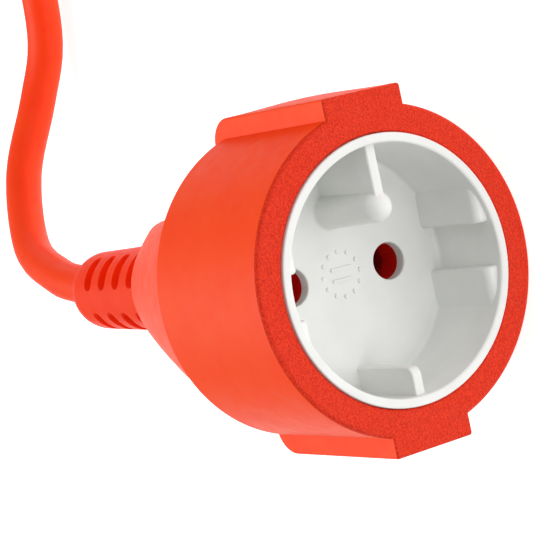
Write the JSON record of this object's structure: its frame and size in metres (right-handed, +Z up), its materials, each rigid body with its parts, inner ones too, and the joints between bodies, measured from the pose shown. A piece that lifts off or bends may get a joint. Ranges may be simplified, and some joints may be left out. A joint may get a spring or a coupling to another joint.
{
  "type": "extension cord",
  "caption": "Two-pole extension lead: round moulded socket with two lugs and a pale recessed insert, flexible cord in a tied coil, and a notched round-pin plug.",
  "frame": {"origin": "on the floor, under the middle of the socket (cord, coil and plug not counted)", "axes": "+Z up, +Y along the socket from its face towards the cord, +X through the two lugs; the line of the pin holes is vertical"},
  "size_m": [0.2339, 0.1711, 0.0512],
  "materials": {
    "orange_pvc": "satin moulded PVC, fine grain on the face",
    "cord_sheath": "satin extruded PVC",
    "pale_insert": "satin moulded thermoset",
    "red_carrier": "matt moulded",
    "contact_metal": "nickel-plated",
    "copper_strand": "bare copper",
    "brown_core": "smooth core insulation",
    "blue_core": "smooth core insulation",
    "coil_tie": "woven hook-and-loop strap"
  },
  "bodies": {
    "socket": {"socket_body": "orange_pvc", "socket_strain_relief": "orange_pvc", "socket_insert": "pale_insert", "contact_carrier": "red_carrier", "carrier_back_cover": "red_carrier", "live_contact_base": "contact_metal", "neutral_contact_base": "contact_metal", "socket_live_core": "brown_core", "socket_neutral_core": "blue_core", "socket_live_strand": "copper_strand", "socket_neutral_strand": "copper_strand", "socket_sheath_tail": "cord_sheath", "cord_run": "cord_sheath", "cord_tail": "cord_sheath", "cord_coil": "cord_sheath", "coil_tie": "coil_tie", "plug_body": "orange_pvc", "plug_strain_relief": "orange_pvc", "plug_bridge": "pale_insert", "plug_live_pin": "contact_metal", "plug_neutral_pin": "contact_metal", "plug_live_core": "brown_core", "plug_neutral_core": "blue_core", "plug_live_strand": "copper_strand", "plug_neutral_strand": "copper_strand", "plug_sheath_tail": "cord_sheath"},
    "live_jaw_right": {"live_jaw_right": "contact_metal"},
    "live_jaw_left": {"live_jaw_left": "contact_metal"},
    "neutral_jaw_right": {"neutral_jaw_right": "contact_metal"},
    "neutral_jaw_left": {"neutral_jaw_left": "contact_metal"}
  },
  "joints": [
    {"name": "live_jaw_right_spring", "type": "hinge", "parent": "socket", "child": "live_jaw_right", "pos_m": [0.00275, -0.015, 0.0351], "axis": [0, 0, -1], "range_deg": [0, 2], "stiffness_Nm_per_rad": 2},
    {"name": "live_jaw_left_spring", "type": "hinge", "parent": "socket", "child": "live_jaw_left", "pos_m": [-0.00275, -0.015, 0.0351], "axis": [0, 0, 1], "range_deg": [0, 2], "stiffness_Nm_per_rad": 2},
    {"name": "neutral_jaw_right_spring", "type": "hinge", "parent": "socket", "child": "neutral_jaw_right", "pos_m": [0.00275, -0.015, 0.0161], "axis": [0, 0, -1], "range_deg": [0, 2], "stiffness_Nm_per_rad": 2},
    {"name": "neutral_jaw_left_spring", "type": "hinge", "parent": "socket", "child": "neutral_jaw_left", "pos_m": [-0.00275, -0.015, 0.0161], "axis": [0, 0, 1], "range_deg": [0, 2], "stiffness_Nm_per_rad": 2}
  ]
}
